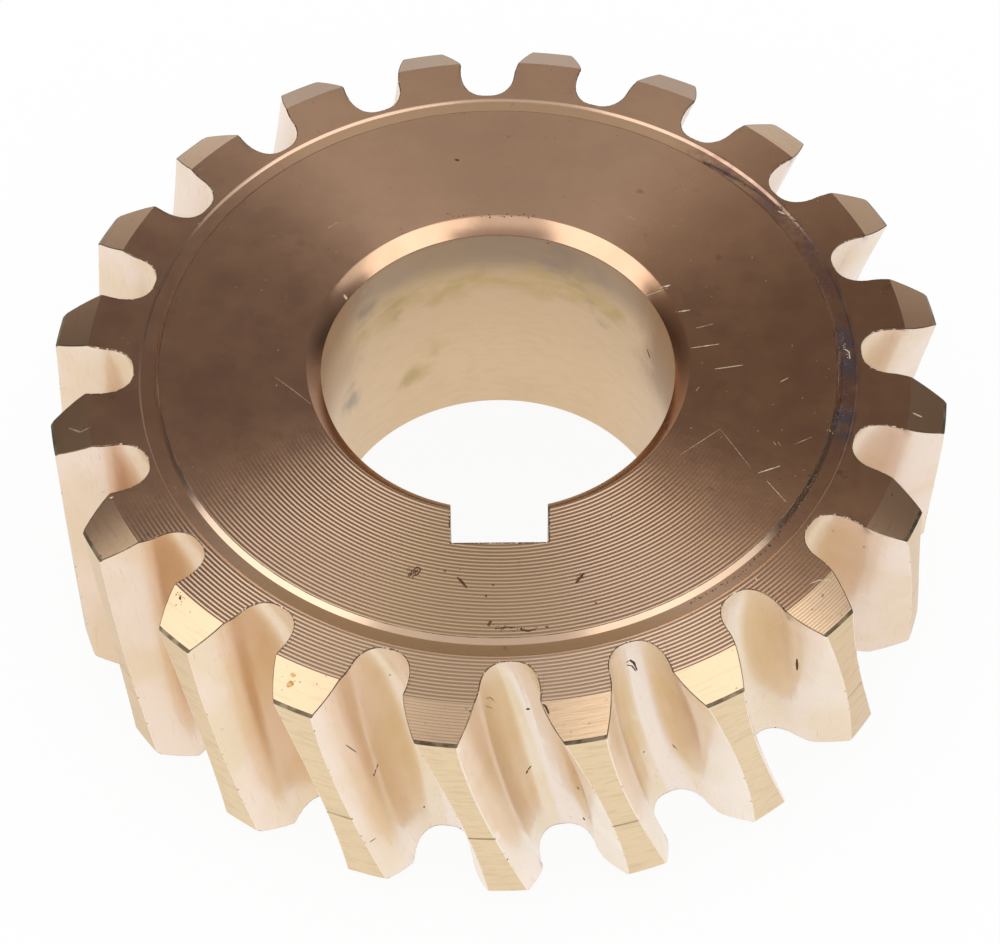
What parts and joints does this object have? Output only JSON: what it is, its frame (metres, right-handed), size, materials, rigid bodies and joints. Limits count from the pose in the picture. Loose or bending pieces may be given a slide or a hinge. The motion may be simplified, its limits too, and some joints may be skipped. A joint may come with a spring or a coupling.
{
  "type": "worm wheel",
  "caption": "One-piece bronze worm wheel with hollow-throated helical teeth, bevelled tooth tips, a shallow ring between hub and rim, and a keyed bore.",
  "frame": {"origin": "centre of the bounding box: on the bore's axis, half way along the hub", "axes": "+Z along the bore's axis, out of the face that the picture shows; -Y from the axis through the keyway; +X to the picture's right"},
  "size_m": [0.076, 0.076, 0.0254],
  "materials": {
    "bronze": "turned and hobbed bronze, bare, with worn and stained faces"
  },
  "bodies": {
    "root": {"worm_wheel": "bronze"}
  },
  "joints": []
}
